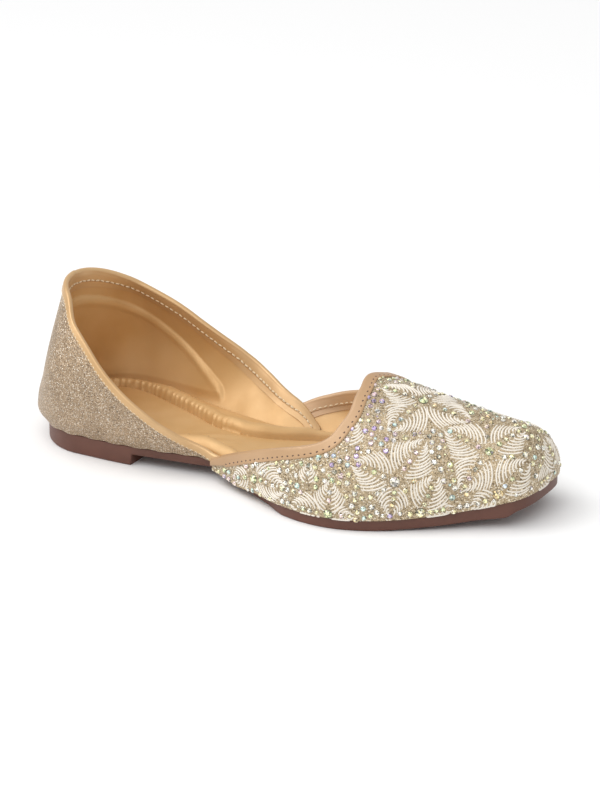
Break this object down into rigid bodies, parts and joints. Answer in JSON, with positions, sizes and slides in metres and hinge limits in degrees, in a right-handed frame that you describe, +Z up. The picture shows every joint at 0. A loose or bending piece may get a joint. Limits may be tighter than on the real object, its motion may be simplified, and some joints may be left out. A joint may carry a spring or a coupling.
{
  "type": "mojari shoe",
  "caption": "Flat slip-on shoe with an embroidered vamp, cut-away sides, a high padded heel cup, bound edges and a thin moulded sole with a low heel block.",
  "frame": {"origin": "middle of the shoe's bounding box, on the floor it stands on", "axes": "+X towards the toe, +Z up, lateral side of the right foot towards -Y"},
  "size_m": [0.2438, 0.0898, 0.0738],
  "materials": {
    "sole_rubber": "reddish brown moulded rubber with a soft satin side",
    "sock_leather": "pearlised gold sock, padded and pleated",
    "upper_fabric": "champagne glitter cloth with ivory thread fans and small faceted stones on the vamp",
    "binding_leather": "smooth tan gold binding with a stitch row",
    "collar_leather": "smooth pearl gold folded binding with a pale stitch row",
    "lining_leather": "soft pearl gold lining"
  },
  "bodies": {
    "root": {"outsole": "sole_rubber", "insole": "sock_leather", "upper": "upper_fabric", "vamp_binding": "binding_leather", "collar_binding": "collar_leather", "heel_pad": "lining_leather"}
  },
  "joints": []
}
